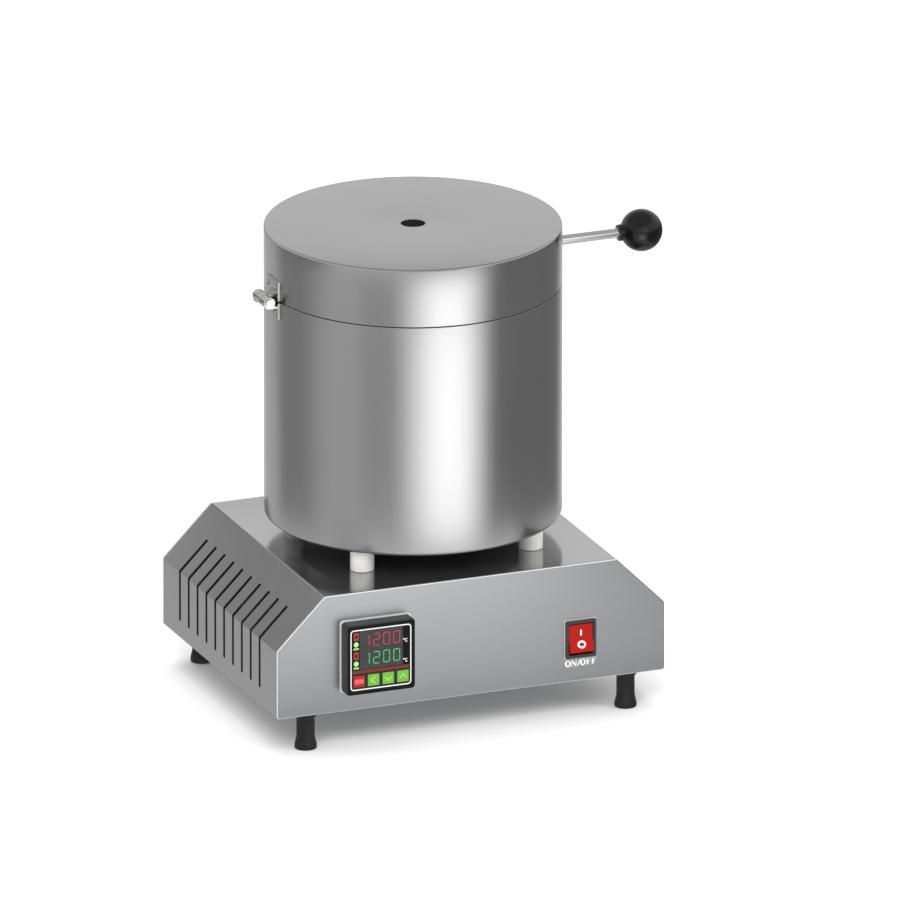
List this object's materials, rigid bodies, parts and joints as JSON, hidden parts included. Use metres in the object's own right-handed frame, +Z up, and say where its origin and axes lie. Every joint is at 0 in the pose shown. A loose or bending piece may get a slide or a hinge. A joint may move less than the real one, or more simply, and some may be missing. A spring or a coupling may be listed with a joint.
{
  "type": "electric melting furnace",
  "caption": "Bench-top electric crucible furnace: round insulated drum with a hinged lid and lever on a low sheet-metal base with a temperature controller and a rocker switch.",
  "frame": {"origin": "on the bench, midway between the four feet and below the drum's axis", "axes": "+Z up, -Y towards the front panel, +X towards the lid's lever; the hinge is on the -X side"},
  "size_m": [0.3095, 0.233, 0.3166],
  "materials": {
    "brushed_sheet": "brushed",
    "polished_sheet": "polished",
    "plain_sheet": "satin",
    "drum_sheet": "satin",
    "fasteners": "plated",
    "hinge_steel": "bright",
    "foot_rubber": "matt",
    "seal_rubber": "matt",
    "gasket_rubber": "matt",
    "white_ceramic": "glazed",
    "chamber_ceramic": "fired",
    "graphite": "matt",
    "fibre": "fibrous",
    "coil_alloy": "oxidised",
    "knob_plastic": "gloss",
    "black_plastic": "satin",
    "grey_plastic": "satin",
    "window_plastic": "gloss",
    "display_red": "satin",
    "key_red": "satin",
    "key_green": "satin",
    "rocker_red": "gloss",
    "board_green": "satin",
    "contact_brass": "plain",
    "sink_aluminium": "extruded",
    "cream_plastic": "satin",
    "lead_sheath": "satin"
  },
  "bodies": {
    "base": {"base_cover": "polished_sheet", "bottom_tray": "plain_sheet", "chamber_collar": "chamber_ceramic", "coil_terminals": "coil_alloy", "controller_bezel": "grey_plastic", "controller_board": "board_green", "controller_clamp": "black_plastic", "controller_face": "black_plastic", "controller_gasket": "gasket_rubber", "controller_housing": "black_plastic", "controller_terminals": "black_plastic", "crucible": "graphite", "crucible_stand": "chamber_ceramic", "digit_display": "display_red", "display_window": "window_plastic", "drum_floor": "plain_sheet", "drum_shell": "drum_sheet", "drum_top_ring": "plain_sheet", "feet": "foot_rubber", "flange_nuts": "fasteners", "floor_insulation": "fibre", "foot_studs": "fasteners", "front_panel": "brushed_sheet", "gland_body": "black_plastic", "gland_cap": "black_plastic", "gland_locknut": "black_plastic", "gland_seal": "seal_rubber", "heating_coil": "coil_alloy", "heating_tube": "chamber_ceramic", "hinge_drum_leaf": "hinge_steel", "hinge_drum_rivets": "fasteners", "hinge_pin": "hinge_steel", "insulation_blanket": "fibre", "internal_wiring": "lead_sheath", "lead_bushings": "white_ceramic", "rear_panel": "brushed_sheet", "relay_heatsink": "sink_aluminium", "solid_state_relay": "cream_plastic", "standoff_bolts": "fasteners", "standoffs": "white_ceramic", "switch_blades": "contact_brass", "switch_housing": "grey_plastic", "temperature_probe": "hinge_steel", "terminal_block": "cream_plastic", "terminal_screws": "contact_brass", "tray_screws": "fasteners"},
    "lid": {"lid_shell": "drum_sheet", "lid_insulation": "fibre", "lid_liner_ring": "plain_sheet", "lid_sleeve": "graphite", "lever_rod": "hinge_steel", "lever_knob": "knob_plastic", "lever_nut": "fasteners", "hinge_lid_leaf": "hinge_steel", "hinge_lid_rivets": "fasteners"},
    "rocker": {"switch_rocker": "rocker_red"},
    "set_button": {"set_key": "key_red"},
    "shift_button": {"shift_key": "key_green"},
    "down_button": {"down_key": "key_green"},
    "up_button": {"up_key": "key_green"}
  },
  "joints": [
    {"name": "lid_hinge", "type": "hinge", "parent": "base", "child": "lid", "pos_m": [-0.10425, 0, 0.2773], "axis": [0, -1, 0], "range_deg": [0, 100]},
    {"name": "switch_rocker_hinge", "type": "hinge", "parent": "base", "child": "rocker", "pos_m": [0.0763, -0.1002, 0.0541], "axis": [1, 0, 0], "range_deg": [0, 20]},
    {"name": "set_key_press", "type": "slide", "parent": "base", "child": "set_button", "axis": [0, 1, 0], "range_m": [0, 0.0007], "stiffness_N_per_m": 400, "springref_m": -0.0008},
    {"name": "shift_key_press", "type": "slide", "parent": "base", "child": "shift_button", "axis": [0, 1, 0], "range_m": [0, 0.0007], "stiffness_N_per_m": 400, "springref_m": -0.0008},
    {"name": "down_key_press", "type": "slide", "parent": "base", "child": "down_button", "axis": [0, 1, 0], "range_m": [0, 0.0007], "stiffness_N_per_m": 400, "springref_m": -0.0008},
    {"name": "up_key_press", "type": "slide", "parent": "base", "child": "up_button", "axis": [0, 1, 0], "range_m": [0, 0.0007], "stiffness_N_per_m": 400, "springref_m": -0.0008}
  ]
}
